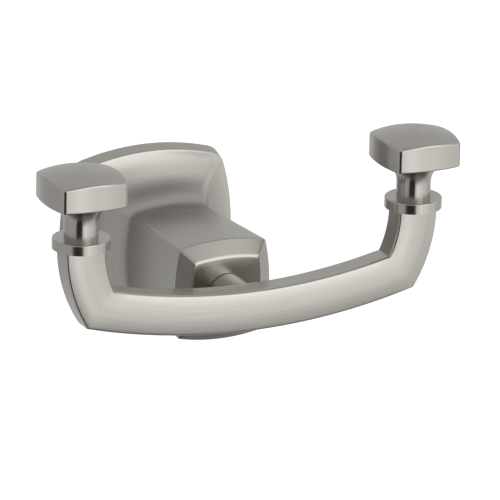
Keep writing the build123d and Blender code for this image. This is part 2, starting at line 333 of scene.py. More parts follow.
# %% [markdown]
# ## Brushed metal
# The hook is plated and then brushed with a fine belt. The brushing leaves scratches along the bar, round
# the post and the turned finials, and straight across the tops of the heads. Each mesh carries their
# direction in a UV map named grain, in millimetres, because neither object space nor a plain unwrap follows
# a bent bar. Noise stretched along the map's first axis makes the scratches: fine ones that tilt the
# surface, and broad ones that vary colour and gloss. On the edges, where hands and towels rub, the metal is
# smoother, and its colour is also painted lighter there, a painted highlight along the edges. A number
# named wear_and_sheen on the mesh says where that is.

# %% Scratches and the metal under them
FINE_LENGTH, FINE_WIDTH = 14.0, 0.24
BROAD_LENGTH, BROAD_WIDTH = 30.0, 0.7
# The last of these tones paints the rubbed edges lighter, a painted highlight along them.
FINE_TONE, BROAD_TONE, PAINTED_SHEEN_TONE = 0.6, 0.4, 0.15
WORN_GLOSS = 0.05
SCRATCH_DEPTH = 0.01
QUARTER_TURN = 0.25


def streaks(tree, along, across, length, width):
    """Noise from 0 to 1, drawn out along the grain. The four sizes are in millimetres."""
    spread = place(tree, "ShaderNodeCombineXYZ", {}, {0: along / length, 1: across / width})
    return place(tree, "ShaderNodeTexNoise", {}, {"Vector": spread, "Scale": 1.0, "Detail": NOISE_DETAIL})


def brushed_metal(name, lines, dark, bright, roughness, spread, scratch, drawn=0.0):
    """A metal brushed along the lines that a function gives, with its colour between two tones."""
    metal = bpy.data.materials.new(name)
    tree = blank(metal)
    along, across = lines(tree)
    fine = streaks(tree, along, across, FINE_LENGTH, FINE_WIDTH)
    broad = streaks(tree, along, across, BROAD_LENGTH, BROAD_WIDTH)
    wear_and_sheen = place(tree, "ShaderNodeAttribute", {"attribute_name": "wear_and_sheen"}, out="Fac")
    # Edges are painted lighter here, a painted highlight. Their lower roughness below is the wear.
    tone = between(fine * FINE_TONE + broad * BROAD_TONE + wear_and_sheen * PAINTED_SHEEN_TONE, dark, bright)
    gloss = roughness + (fine + broad - 1) * spread - wear_and_sheen * WORN_GLOSS
    tilt = place(tree, "ShaderNodeBump", {}, {
        "Strength": scratch, "Distance": SCRATCH_DEPTH * MM, "Height": fine})
    skin = place(tree, "ShaderNodeBsdfPrincipled", {}, {
        "Base Color": tone, "Metallic": 1.0, "Roughness": gloss, "Normal": tilt,
        "Anisotropic": drawn, "Anisotropic Rotation": QUARTER_TURN})
    place(tree, "ShaderNodeOutputMaterial", {}, {"Surface": skin}, out=None)
    print(f"{name}: {len(tree.nodes)} nodes, roughness about {roughness}")
    return metal


print(f"fine scratches {FINE_LENGTH} by {FINE_WIDTH} mm, broad ones {BROAD_LENGTH} by {BROAD_WIDTH} mm")

# %% Nickel for the post, the finials and the bar


def mapped_lines(tree):
    """Along and across the grain, from the mesh's own map."""
    return split(place(tree, "ShaderNodeUVMap", {"uv_map": "grain"}), "XY")


NICKEL = {"lines": mapped_lines, "dark": (0.36, 0.346, 0.320), "bright": (0.51, 0.490, 0.453)}
nickel = brushed_metal("satin_nickel", roughness=0.28, spread=0.04, scratch=0.08, **NICKEL)
turned_nickel = brushed_metal(
    "turned_nickel", roughness=0.23, spread=0.045, scratch=0.1, drawn=0.75, **NICKEL)
drawn_nickel = brushed_metal(
    "drawn_nickel", roughness=0.24, spread=0.07, scratch=0.16, drawn=0.5, **NICKEL)

# %% [markdown]
# ## A rule for the post and the finials
# The plate, the post and the heads are all squares whose sides bow outwards, and the collar and spool are
# round. One rule covers them: a side is an arc about a point set back behind the axis, and a small arc
# rounds the corner. A section with no set-back is drawn as a circle. A lathe or a Screw modifier can't bow
# a square, so Geometry Nodes lays a grid with one row for each point of a profile and bends it by the rule.
# The profile's points carry their own half width, depth, bow and corner radius.

# %% Helpers for Geometry Nodes trees
SEAM = 0.002
HALF_STEP = 0.5


def new_tree(name, inputs):
    """A Geometry Nodes tree with named inputs. Gives the tree and a wire for each input."""
    tree = bpy.data.node_groups.new(name, "GeometryNodeTree")
    for label, kind in inputs.items():
        tree.interface.new_socket(name=label, in_out="INPUT", socket_type="NodeSocket" + kind)
    tree.interface.new_socket(name="Mesh", in_out="OUTPUT", socket_type="NodeSocketGeometry")
    return tree, {label: place(tree, "NodeGroupInput", out=label) for label in inputs}


def count_points(geometry):
    """How many points a mesh has."""
    return place(geometry.tree, "GeometryNodeAttributeDomainSize", {"component": "MESH"},
                 {"Geometry": geometry})


def lay_grid(tree, rows, columns):
    """A grid, and the row and the column of each of its points."""
    grid = place(tree, "GeometryNodeMeshGrid", {}, {"Vertices X": rows, "Vertices Y": columns})
    index = place(tree, "GeometryNodeInputIndex")
    row = ((index + HALF_STEP) / columns).maths("FLOOR")
    return grid, row, index - row * columns


def sampler(tree, geometry, index):
    """A function that reads a named number from the points of a geometry, by index."""
    def read(name):
        stored = place(tree, "GeometryNodeInputNamedAttribute", {"data_type": "FLOAT"}, {"Name": name})
        return place(tree, "GeometryNodeSampleIndex", {"data_type": "FLOAT", "domain": "POINT"},
                     {"Geometry": geometry, "Value": stored, "Index": index})
    return read


def end_tree(tree, grid, position, grain, wear_and_sheen, material):
    """Move the points, keep the grain's direction, the wear and its painted sheen, close seams, set the
    material.
    """
    moved = place(tree, "GeometryNodeSetPosition", {}, {"Geometry": grid, "Position": position})
    on_points = place(tree, "GeometryNodeFieldOnDomain",
                      {"data_type": "FLOAT_VECTOR", "domain": "POINT"}, {0: grain})
    mapped = place(tree, "GeometryNodeStoreNamedAttribute", {"data_type": "FLOAT2", "domain": "CORNER"},
                   {"Geometry": moved, "Name": "grain", "Value": on_points})
    with_wear_and_sheen = place(tree, "GeometryNodeStoreNamedAttribute", {"data_type": "FLOAT", "domain": "POINT"},
                   {"Geometry": mapped, "Name": "wear_and_sheen", "Value": wear_and_sheen})
    closed = place(tree, "GeometryNodeMergeByDistance", {}, {"Geometry": with_wear_and_sheen, "Distance": SEAM * MM})
    real = place(tree, "GeometryNodeRealizeInstances", {}, {"Geometry": closed})
    painted = place(tree, "GeometryNodeSetMaterial", {}, {"Geometry": real, "Material": material})
    place(tree, "NodeGroupOutput", {}, {0: painted}, out=None)


print(f"trees close seams up to {SEAM} mm")

# %% One side of a bowed section
JUST_PAST = 0.0001
ROUND_BOW = 0.001


def pick(mask, no, yes):
    """One of two values, by a mask that is 0 or 1."""
    return no + (yes - no) * mask


def bowed_side(across, straight, half, bow, corner):
    """A point on one side of the section: how far out, how far aside, and how far round its corner."""
    share = abs(across)
    on_corner = share > straight + JUST_PAST
    radius = half + bow
    inner = radius - corner
    middle = ((inner * inner * 2 - bow * bow).maths("SQRT") - bow) / 2
    tangent = middle.maths("ARCTAN2", middle + bow)
    along_side = (share / straight).maths("MINIMUM", 1.0)
    along_corner = (share - straight).maths("MAXIMUM", 0.0) / (1 - straight)
    angle = along_side * tangent + along_corner * (math.pi / 4 - tangent)
    reach = pick(on_corner, radius, corner)
    out = pick(on_corner, 0 - bow, middle) + reach * angle.maths("COSINE")
    aside = on_corner * middle + reach * angle.maths("SINE")
    is_round = bow < ROUND_BOW
    eighth = share * (math.pi / 4)
    out = pick(is_round, out, half * eighth.maths("COSINE"))
    aside = pick(is_round, aside, half * eighth.maths("SINE")) * across.maths("SIGN")
    return out, aside, along_corner * (1 - is_round)


print(f"a section bowed by less than {ROUND_BOW} mm is a circle")

# %% The bowed body tree
SIDES = 4
GRAIN_PER_SIDE = 25.0
# Round corners of a bowed section get wear and a painted highlight, at half strength.
CORNER_WEAR_AND_SHEEN = 0.5


def bowed_body_tree():
    """Bends a grid round an axis, with one row for each point of a profile."""
    tree, given = new_tree("bowed_body", {
        "Profile": "Geometry", "Side Steps": "Int", "Corner Steps": "Int", "Dome Radius": "Float",
        "Seam Turn": "Float", "Place": "Vector", "Turn": "Rotation", "Material": "Material"})
    steps = given["Side Steps"] + given["Corner Steps"]
    grid, ring, column = lay_grid(tree, count_points(given["Profile"]), steps * (2 * SIDES) + 1)
    read = sampler(tree, given["Profile"], ring)
    side = column / (steps * 2)
    number = side.maths("FLOOR")
    across = (side - number) * 2 - 1
    straight = given["Side Steps"] / steps
    out, aside, round_corner = bowed_side(across, straight, read("half"), read("bow"), read("corner"))

    turn = number * (math.pi / 2) + given["Seam Turn"]
    x = out * turn.maths("COSINE") - aside * turn.maths("SINE")
    y = (out * turn.maths("SINE") + aside * turn.maths("COSINE")) * read("squat") + read("rise")
    dome = given["Dome Radius"]
    drop = (dome * dome - x * x - y * y).maths("SQRT") - dome
    z = read("depth") + read("dome") * drop
    standing = place(tree, "ShaderNodeCombineXYZ", {}, {0: x * MM, 1: y * MM, 2: z * MM})
    turned = place(tree, "FunctionNodeRotateVector", {}, {"Vector": standing, "Rotation": given["Turn"]})
    position = place(tree, "ShaderNodeVectorMath", {"operation": "ADD"}, {0: turned, 1: given["Place"]})

    level_grain = read("level")
    grain = place(tree, "ShaderNodeCombineXYZ", {}, {
        0: pick(level_grain, side * GRAIN_PER_SIDE, x), 1: pick(level_grain, read("run"), y)})
    # Rounded edges and round corners get wear and a painted highlight.
    wear_and_sheen = read("edge").maths("MAXIMUM", round_corner * (1 - level_grain) * CORNER_WEAR_AND_SHEEN)
    end_tree(tree, grid, position, grain, wear_and_sheen, given["Material"])
    return tree


bowed_body = bowed_body_tree()
print("bowed body tree:", len(bowed_body.nodes), "nodes")

# %% [markdown]
# ## Drawing a profile
# A profile is drawn as on paper, line by line and arc by arc. Next to each end of a line lies one more
# point, so that the smooth shading of a rounded edge stops there and doesn't spread over the flat beside it.
# A Blender curve could hold the line, but not the bow, corner, wear and painted sheen that each point
# carries here.

# %% Profile pen
HOLD = 0.12
QUARTER_ROUND = 4 / 3 * math.tan(math.pi / 8)


class Pen:
    """Draws a line of points, each with the section's bow and corner radius, in millimetres."""

    FIELDS = ("half", "depth", "bow", "corner", "rise", "squat", "dome", "level", "edge", "run")

    def __init__(self, bow=0.0):
        self.points = []
        self.state = {"bow": bow, "corner": 0.0, "rise": 0.0, "squat": 1.0, "dome": 0.0, "level": 0.0,
                      "edge": 0.0}
        self.run = 0.0

    def dot(self, half, depth, **state):
        """One point. What is said about the section holds for the points after it too."""
        self.state.update(state)
        if self.points:
            last = self.points[-1]
            self.run += math.hypot(half - last["half"], depth - last["depth"])
        self.points.append({"half": half, "depth": depth, "run": self.run, **self.state})
        return self

    def line(self, half, depth, steps=1, **state):
        """A straight line to a point, with the section changing evenly along it."""
        last = self.points[-1]
        start = Vector((last["half"], last["depth"]))
        way = Vector((half, depth)) - start
        shares = {i / steps for i in range(1, steps + 1)}
        if way.length > 4 * HOLD:
            shares |= {HOLD / way.length, 1 - HOLD / way.length}
        goal = {**self.state, **state}
        for share in sorted(shares):
            mixed = {key: last[key] + share * (goal[key] - last[key]) for key in goal}
            self.dot(*(start + share * way), **{**mixed, "edge": 0.0})
        return self

    def arc(self, centre, radius, start, end, steps, shape=None, edge=0.0):
        """Part of a circle, between two angles in degrees."""
        self.state["edge"] = edge
        for i in range(1, steps + 1):
            angle = math.radians(start + (end - start) * i / steps)
            half = centre[0] + radius * math.cos(angle)
            depth = centre[1] + radius * math.sin(angle)
            self.dot(half, depth, **(shape(half, depth) if shape else {}))
        return self

    def curve(self, corner, end, steps, shape=None, edge=0.0):
        """A quarter round to a point, tangent to the lines from its ends to a corner."""
        self.state["edge"] = edge
        start = Vector((self.points[-1]["half"], self.points[-1]["depth"]))
        corner, end = Vector(corner), Vector(end)
        handles = start.lerp(corner, QUARTER_ROUND), end.lerp(corner, QUARTER_ROUND)
        for i in range(1, steps + 1):
            t = i / steps
            weights = (1 - t) ** 3, 3 * t * (1 - t) ** 2, 3 * t ** 2 * (1 - t), t ** 3
            mark = sum((w * p for w, p in zip(weights, (start, *handles, end))), Vector((0.0, 0.0)))
            self.dot(*mark, **(shape(*mark) if shape else {}))
        return self

    def object(self, name):
        """The points as a mesh that Geometry Nodes can read."""
        mesh = bpy.data.meshes.new(name)
        mesh.from_pydata([(p["half"] * MM, 0.0, p["depth"] * MM) for p in self.points], [], [])
        for field in self.FIELDS:
            stored = mesh.attributes.new(field, "FLOAT", "POINT")
            stored.data.foreach_set("value", [p[field] for p in self.points])
        return add_object(name, mesh)


print("each point of a profile carries:", ", ".join(Pen.FIELDS))

# %% [markdown]
# ## From a profile to a plain mesh
# A tree's result lives in a modifier. The export wants plain meshes, so the result is copied out and the
# modifier removed. The copy is then closed and turned outwards, and its open edges are counted, because a
# hole or a face turned inwards is easier to find by number than by eye.

# %% Mesh helpers
SLIVER = 0.001
SMOOTH_ANGLE = 28.0


def settle(piece):
    """Replace a piece's mesh by what its modifiers make of it, and remove them."""
    bpy.context.view_layer.update()
    ready = piece.evaluated_get(bpy.context.evaluated_depsgraph_get())
    mesh = bpy.data.meshes.new_from_object(ready)
    piece.modifiers.clear()
    piece.data = mesh
    return piece


def through_tree(piece, tree, values):
    """Run a piece through a tree and keep the result as a plain mesh at the origin."""
    modifier = piece.modifiers.new("shape", "NODES")
    modifier.node_group = tree
    sockets = {item.name: item.identifier for item in tree.interface.items_tree if item.in_out == "INPUT"}
    for label, value in values.items():
        modifier[sockets[label]] = value
    return settle(piece)


def close_up(piece):
    """Merge doubles, close any open loop with a face, and point every face outwards."""
    work = bmesh.new()
    work.from_mesh(piece.data)
    bmesh.ops.remove_doubles(work, verts=work.verts, dist=SEAM * MM)
    bmesh.ops.dissolve_degenerate(work, edges=work.edges, dist=SLIVER * MM)
    loose = [edge for edge in work.edges if edge.is_boundary]
    if loose:
        bmesh.ops.edgeloop_fill(work, edges=loose)
    bmesh.ops.recalc_face_normals(work, faces=work.faces)
    work.to_mesh(piece.data)
    work.free()


def smooth(piece):
    """Shade smooth, apart from the sharp edges."""
    piece.data.shade_smooth()
    piece.data.set_sharp_from_angle(angle=math.radians(SMOOTH_ANGLE))


def report(piece):
    """Print a piece's size and whether its mesh is closed."""
    work = bmesh.new()
    work.from_mesh(piece.data)
    open_edges = sum(not edge.is_manifold for edge in work.edges)
    corners = np.array([v.co for v in work.verts]) / MM
    print(f"{piece.name}: {len(work.faces)} faces, {open_edges} open edges, "
          f"volume {work.calc_volume() / MM ** 3 / 1000:.2f} cm3, "
          f"from {corners.min(0).round(2)} to {corners.max(0).round(2)} mm")
    work.free()


print(f"edges sharper than {SMOOTH_ANGLE} degrees stay sharp")

# %% [markdown]
# ## Bores, bosses and lips
# Holes and bosses are few and plain, so they are cut or added with the Boolean modifier, each by a small
# closed mesh that is removed afterwards. The exact solver is slower than the fast one, but it leaves closed
# meshes where faces touch.

# %% Rods, blocks and prisms
ROD_SIDES = 72


def join_rings(work, rings):
    """Close a tube of rings with faces between them and a face at each end."""
    work.faces.new(rings[0])
    work.faces.new(rings[-1])
    count = len(rings[0])
    for near, far in zip(rings, rings[1:]):
        for i in range(count):
            j = (i + 1) % count
            work.faces.new((near[i], near[j], far[j], far[i]))


def rod(start, end, radius, chamfer=0.0, sides=ROD_SIDES):
    """A maker of a round bar between two points, in millimetres, with a chamfer at its start."""
    def make(work):
        way = Vector(end) - Vector(start)
        turn = way.to_track_quat("Z", "Y")
        stations = [(0.0, radius - chamfer), (way.length, radius)]
        if chamfer:
            stations.insert(1, (chamfer, radius))
        rings = []
        for along, reach in stations:
            angles = (2 * math.pi * i / sides for i in range(sides))
            marks = (Vector((reach * math.cos(a), reach * math.sin(a), along)) for a in angles)
            rings.append([work.verts.new((Vector(start) + turn @ mark) * MM) for mark in marks])
        join_rings(work, rings)
    return make


def block(low, high):
    """A maker of a rectangular block between two corners, in millimetres."""
    def make(work):
        size = Vector(high) - Vector(low)
        made = bmesh.ops.create_cube(work, size=MM)
        bmesh.ops.scale(work, verts=made["verts"], vec=size)
        bmesh.ops.translate(work, verts=made["verts"], vec=(Vector(low) + size / 2) * MM)
    return make


def prism(outline, half_width):
    """A maker of a bar along X from an outline of (Y, Z) points, in millimetres."""
    def make(work):
        join_rings(work, [[work.verts.new((x * MM, y * MM, z * MM)) for y, z in outline]
                          for x in (-half_width, half_width)])
    return make


print("a round detail has", ROD_SIDES, "sides")

# %% Cut or add a detail


def cutter(name, make):
    """A closed mesh used to cut or add a detail."""
    mesh = bpy.data.meshes.new(name)
    work = bmesh.new()
    make(work)
    bmesh.ops.recalc_face_normals(work, faces=work.faces)
    brushing = work.loops.layers.uv.new("grain")
    for face in work.faces:
        for loop in face.loops:
            x, y, z = loop.vert.co / MM
            loop[brushing].uv = (x, y + z)
    work.to_mesh(mesh)
    work.free()
    return add_object(name, mesh)


def carve(piece, metal, steps):
    """Add or cut a list of details in a metal, given as an operation, a name and a maker."""
    for operation, name, make in steps:
        tool = cutter(name, make)
        tool.data.materials.append(metal)
        modifier = piece.modifiers.new(name, "BOOLEAN")
        modifier.operation = operation
        modifier.object = tool
        modifier.solver = "EXACT"
        settle(piece)
        bpy.data.objects.remove(tool)


trial = cutter("trial_rod", rod((0, 0, 0), (0, 0, 10), radius=2))
print("a trial rod has", len(trial.data.polygons), "faces")
bpy.data.objects.remove(trial)

# %% [markdown]
# ## Wall post
# Plate and post are one casting on the real hook: a low plate with bowed sides, a cove, a post that flares a
# little towards its end, and a wide bevel round a flat face. It could be lofted from a few sections, or cut
# out of a block. Here its outline is drawn once, from the bottom of the hollow, round the foot and up the
# outside, and the bowed body tree does the rest. So each row of faces runs round the post, and the brushing
# and the shading follow it. The plate is a little lower than it is wide and sits a little high. The cove
# takes over that squat and rise by degrees, and the creases at its corners grow sharper towards the neck.

# %% Corners of the plate and the cove
BOW = 47.0
RIM_HALF = 28.05
RIM_HALF_HEIGHT = 27.1
RIM_SQUAT = RIM_HALF_HEIGHT / RIM_HALF
RIM_RISE = 1.4
RIM_DEPTH = 5.0
RIM_DRAFT = 0.85
PLATE_CORNER = 5.5
NECK_HALF = 14.6
NECK_CREASE = 2.2
RIM_CREASE = 4.0
CLOSE_ENOUGH = 0.001


def corner_reach(half, corner):
    """How far a bowed square's corner lies from its axis."""
    inner = BOW + half - corner
    return math.sqrt(2) * (math.sqrt(2 * inner ** 2 - BOW ** 2) - BOW) / 2 + corner


def plate_corner(half, depth):
    """The corner radius that keeps the cove inside the rounded corners of the plate."""
    limit = corner_reach(RIM_HALF - RIM_DRAFT / RIM_DEPTH * (depth - RIM_DEPTH), PLATE_CORNER)
    soft = NECK_CREASE + (RIM_CREASE - NECK_CREASE) * (half - NECK_HALF) / (RIM_HALF - NECK_HALF)
    low, high = soft, PLATE_CORNER
    while high - low > CLOSE_ENOUGH and corner_reach(half, soft) > limit:
        middle = (low + high) / 2
        low, high = (middle, high) if corner_reach(half, middle) > limit else (low, middle)
    return low


def plate_shape(half, depth):
    """Corner radius of the cove, and how much of the plate's rise and squat it has at a half width."""
    share = ((half - NECK_HALF) / (RIM_HALF - NECK_HALF)) ** 3
    return {"corner": plate_corner(half, depth), "rise": share * RIM_RISE,
            "squat": 1 + share * (RIM_SQUAT - 1)}


print(f"plate's corners lie {corner_reach(RIM_HALF, PLATE_CORNER):.2f} mm from its axis")

# %% Hollow of the post
NECK_DEPTH = 20.0
POST_DEPTH = 63.5
WALL = 3.0
END_WALL = 8.0
CORE_DRAFT = 0.6
CORE_SPREAD = 0.5
CORE_CORNER = 0.5
CORE_FOOT_CORNER = 3.0


def tangent_arc(start, direction, end):
    """Centre, radius and angles of the arc that leaves a point in a direction and ends at another."""
    start, end, direction = Vector(start), Vector(end), Vector(direction).normalized()
    normal = Vector((-direction.y, direction.x))
    chord = end - start
    radius = chord.length_squared / (2 * chord.dot(normal))
    centre = start + normal * radius
    first, last = (math.degrees(math.atan2(p.y - centre.y, p.x - centre.x)) for p in (start, end))
    last = first + (last - first + 180) % 360 - 180
    return centre, abs(radius), (first, last)


def core_shape(half, depth):
    """The hollow follows the rise and squat of the wall outside it, and keeps its own small corner."""
    return {**plate_shape(half + WALL, depth), "corner": CORE_CORNER}


core_neck = (NECK_HALF - WALL, NECK_DEPTH)
core_end = (core_neck[0] - CORE_DRAFT, POST_DEPTH - END_WALL)
core_rim = (RIM_HALF - WALL + CORE_SPREAD, RIM_DEPTH - WALL)
core_way = Vector(core_neck) - Vector(core_end)
core_centre, core_radius, core_angles = tangent_arc(core_neck, core_way, core_rim)
pen = Pen(bow=BOW)
pen.dot(0.0, POST_DEPTH - END_WALL)
pen.line(*core_end, steps=3, corner=CORE_CORNER)
pen.line(*core_neck, steps=8)
pen.arc(core_centre, core_radius, *core_angles, steps=16, shape=core_shape)
pen.line(RIM_HALF + RIM_DRAFT - WALL, 0.0, corner=CORE_FOOT_CORNER, rise=RIM_RISE, squat=RIM_SQUAT)
print(f"hollow's cove of radius {core_radius:.2f} mm")

# %% Rim and cove
# A rounded edge gets full wear and the full painted highlight.
RUBBED_AND_SHEEN = 1.0
RIM_ROUND = 0.3
RIM_SLOPE = 0.34
COVE_END = 21.5
END_HALF = 16.2
BEVEL_WIDTH = 4.6
BEVEL_DEPTH = 3.8
neck = (NECK_HALF, NECK_DEPTH)
post_end = (END_HALF, POST_DEPTH - BEVEL_DEPTH)
face = (END_HALF - BEVEL_WIDTH, POST_DEPTH)
flare = (neck[0] - post_end[0]) / (neck[1] - post_end[1])


def on_post(depth):
    """The point of the flaring post at a depth."""
    return NECK_HALF + flare * (depth - NECK_DEPTH), depth


slope_drop = RIM_SLOPE * (RIM_HALF - NECK_HALF + flare * NECK_DEPTH)
cove_corner = on_post((RIM_DEPTH + slope_drop) / (1 + RIM_SLOPE * flare))
rim = Vector((RIM_HALF, RIM_DEPTH))
down_rim = Vector((RIM_DRAFT, -RIM_DEPTH)).normalized()
up_cove = (Vector(cove_corner) - rim).normalized()
pen.line(RIM_HALF + RIM_DRAFT, 0.0, corner=PLATE_CORNER)
pen.line(*(rim + RIM_ROUND * down_rim), steps=3)
pen.curve(rim, rim + RIM_ROUND * up_cove, steps=4, edge=RUBBED_AND_SHEEN)
cove_from = len(pen.points) - 1
pen.curve(cove_corner, on_post(COVE_END), steps=40, shape=plate_shape)
cove_points = pen.points[cove_from:]
print(f"cove leaves the rim at {math.degrees(math.atan(RIM_SLOPE)):.0f} degrees, {len(cove_points)} points")

# %% Post, bevel and end face
CREASE = 1.0
BEVEL_ROUND = 2.0
# The bevel's round gets half the wear and half the painted highlight.
BEVEL_WEAR_AND_SHEEN = 0.5
FLAT_DOME = 1000.0
up_post = (Vector(post_end) - Vector(neck)).normalized()
bevel = Vector(face) - Vector(post_end)
pen.line(*(Vector(post_end) - RIM_ROUND * up_post), steps=20, rise=0.0, squat=1.0, corner=CREASE)
pen.curve(post_end, Vector(post_end) + RIM_ROUND * bevel.normalized(), steps=4, edge=RUBBED_AND_SHEEN)
bevel_turn = math.atan2(-bevel.x, bevel.y)
back_off = BEVEL_ROUND * math.tan((math.pi / 2 - bevel_turn) / 2)
bevel_stop = Vector(face) - bevel.normalized() * back_off
pen.line(*bevel_stop, steps=4)
round_centre = Vector((face[0] - back_off, POST_DEPTH - BEVEL_ROUND))
round_from = math.degrees(math.atan2(bevel_stop.y - round_centre.y, bevel_stop.x - round_centre.x))
pen.arc(round_centre, BEVEL_ROUND, round_from, 90.0, steps=9, edge=BEVEL_WEAR_AND_SHEEN)
pen.line(0.0, POST_DEPTH, steps=3, corner=0.0)
post = through_tree(pen.object("wall_post_visual"), bowed_body, {
    "Side Steps": 12, "Corner Steps": 5, "Dome Radius": FLAT_DOME, "Seam Turn": 0.0,
    "Place": (0.0, 0.0, 0.0), "Turn": (math.pi / 2, 0.0, 0.0), "Material": nickel})
close_up(post)
report(post)

# %% Lip, screw hole and socket of the post
SCREW_DEPTH = 9.0
SCREW_HOLE = 2.1
BELOW_PLATE = 40.0
BLOCK_FOOT_DEPTH = 3.0
BLOCK_FOOT_HALF = 6.0
BLOCK_SLOPE = 0.2
LIP_NEAR, LIP_FAR = 6.0, 12.0
LIP_HALF_WIDTH = 5.0
SEAT = 0.02
SOCKET_HALF = 3.6
SOCKET_DEPTH = 4.1
BOLT_HOLE = 2.7
OVERCUT = 1.0


def wall_middle(depth):
    """Half width of the middle of the cove's wall at a depth."""
    outer = np.interp(depth, [p["depth"] for p in cove_points], [p["half"] for p in cove_points])
    inside = core_centre.x - math.sqrt(core_radius ** 2 - (depth - core_centre.y) ** 2)
    return (outer + inside) / 2


def block_top(depth):
    """Height of the bracket's sloping block, which the post's lip hangs on."""
    return BLOCK_FOOT_HALF + BLOCK_SLOPE * (depth - BLOCK_FOOT_DEPTH) + SEAT


lip_outline = [(-LIP_NEAR, block_top(LIP_NEAR)), (-LIP_FAR, block_top(LIP_FAR)),
               (-LIP_FAR, wall_middle(LIP_FAR)), (-LIP_NEAR, wall_middle(LIP_NEAR))]
carve(post, nickel, [
    ("UNION", "hanging_lip", prism(lip_outline, LIP_HALF_WIDTH)),
    ("DIFFERENCE", "screw_hole", rod((0, -SCREW_DEPTH, -BELOW_PLATE), (0, -SCREW_DEPTH, 0), SCREW_HOLE)),
    ("DIFFERENCE", "spigot_socket", block((-SOCKET_HALF, -POST_DEPTH - OVERCUT, -SOCKET_HALF),
                                          (SOCKET_HALF, -POST_DEPTH + SOCKET_DEPTH, SOCKET_HALF))),
    ("DIFFERENCE", "bolt_hole", rod((0, -POST_DEPTH - OVERCUT, 0),
                                    (0, -POST_DEPTH + END_WALL + OVERCUT, 0), BOLT_HOLE)),
])
smooth(post)
report(post)

# %% [markdown]
# ## Finials
# Each finial is one turned piece: a stud that screws into the arm, a round collar, a spool that flares out,
# and a square head with bowed sides and a domed top. A lathe makes all of it but the head. The bowed body
# tree makes the head too, because a profile's points may change from round to bowed on the way up. The grain
# turns with the piece up to the head's edge. Two rings in one place end it there, and the top is brushed
# straight across.

# %% Stud, collar and spool
COLLAR_HALF = 8.85
COLLAR_TOP = 3.3
COLLAR_ROUND = 0.4
SPOOL_HALF = 5.3
SPOOL_FOOT = 0.06
SPOOL_STRAIGHT = 4.7
FLARE_HEIGHT = 6.5
FLARE_HALF = 10.0
STUD_HALF = 2.5
STUD_LENGTH = 9.0

flare_foot = (SPOOL_HALF, COLLAR_TOP + SPOOL_STRAIGHT)
flare_top = (FLARE_HALF, flare_foot[1] + FLARE_HEIGHT)
flare_centre, flare_radius, flare_angles = tangent_arc(flare_foot, (0.0, 1.0), flare_top)
finial_pen = Pen()
finial_pen.dot(0.0, -STUD_LENGTH).line(STUD_HALF, -STUD_LENGTH).line(STUD_HALF, SEAT, steps=2)
finial_pen.line(COLLAR_HALF, SEAT, steps=3).line(COLLAR_HALF, COLLAR_TOP - COLLAR_ROUND, steps=2)
finial_pen.arc((COLLAR_HALF - COLLAR_ROUND, COLLAR_TOP - COLLAR_ROUND), COLLAR_ROUND, 0, 90, steps=5,
               edge=RUBBED_AND_SHEEN)
finial_pen.line(SPOOL_HALF + SPOOL_FOOT, COLLAR_TOP, steps=3)
finial_pen.arc((SPOOL_HALF + SPOOL_FOOT, COLLAR_TOP + SPOOL_FOOT), SPOOL_FOOT, -90, -180, steps=8)
finial_pen.line(*flare_foot, steps=3)
finial_pen.arc(flare_centre, flare_radius, *flare_angles, steps=20)
print(f"spool flares on a radius of {flare_radius:.2f} mm")

# %% Head of a finial
HEAD_HALF = 11.95
HEAD_BOW = 28.55
HEAD_HEIGHT = 10.1
HEAD_DOME = 43.0
HEAD_CORNER = 2.0
HEAD_ROUND = 0.5
UNDERSIDE_INSET = 0.15
TOP_EDGE_END = 80
TOP_STEPS = 10


def head_edge(start, end, steps, depth, sign, dome):
    """The rounded edge between the head's side and its underside or its domed top."""
    for i in range(steps + 1):
        angle = math.radians(start + (end - start) * i / steps)
        inset = HEAD_ROUND * (1 - math.cos(angle))
        finial_pen.dot(HEAD_HALF - inset, depth + sign * HEAD_ROUND * (1 - math.sin(angle)),
                       bow=HEAD_BOW, corner=HEAD_CORNER - inset, dome=dome, edge=RUBBED_AND_SHEEN)


head_base = flare_top[1]
head_apex = head_base + HEAD_HEIGHT
side_low = head_base + HEAD_ROUND + HOLD
side_high = head_apex - HEAD_ROUND - HOLD
under_half = HEAD_HALF - HEAD_ROUND
finial_pen.dot(FLARE_HALF + UNDERSIDE_INSET, head_base, bow=0.0)
finial_pen.dot(under_half - UNDERSIDE_INSET, head_base, bow=HEAD_BOW, corner=HEAD_CORNER - HEAD_ROUND)
finial_pen.dot(under_half, head_base)
head_edge(start=90, end=0, steps=5, depth=head_base, sign=1, dome=0.0)
finial_pen.dot(HEAD_HALF, side_low, edge=0.0)
for share in (0.25, 0.5, 0.75):
    finial_pen.dot(HEAD_HALF, side_low + share * (side_high - side_low), dome=share)
finial_pen.dot(HEAD_HALF, side_high, dome=1.0)
head_edge(start=0, end=TOP_EDGE_END, steps=6, depth=head_apex, sign=-1, dome=1.0)
top_half = under_half - HOLD
top_corner = HEAD_CORNER - HEAD_ROUND
finial_pen.dot(top_half, head_apex, corner=top_corner, edge=0.0)
for i in range(TOP_STEPS + 1):
    share = 1 - i / TOP_STEPS
    finial_pen.dot(top_half * share, head_apex, corner=top_corner * share, level=1.0)
print(f"finial stands {head_apex:.1f} mm above the arm, {len(finial_pen.points)} points")

# %% Both finials
ARM_X = 55.5
ARM_Y = -78.35
ARM_RISE = 26.0
ARMS = {"left": -ARM_X, "right": ARM_X}
finials = {}
for hand, x in ARMS.items():
    finial = through_tree(finial_pen.object(f"finial_{hand}_visual"), bowed_body, {
        "Side Steps": 11, "Corner Steps": 5, "Dome Radius": HEAD_DOME, "Seam Turn": math.pi / 2,
        "Place": (x * MM, ARM_Y * MM, ARM_RISE * MM), "Turn": (0.0, 0.0, 0.0), "Material": turned_nickel})
    close_up(finial)
    smooth(finial)
    report(finial)
    finials[hand] = finial

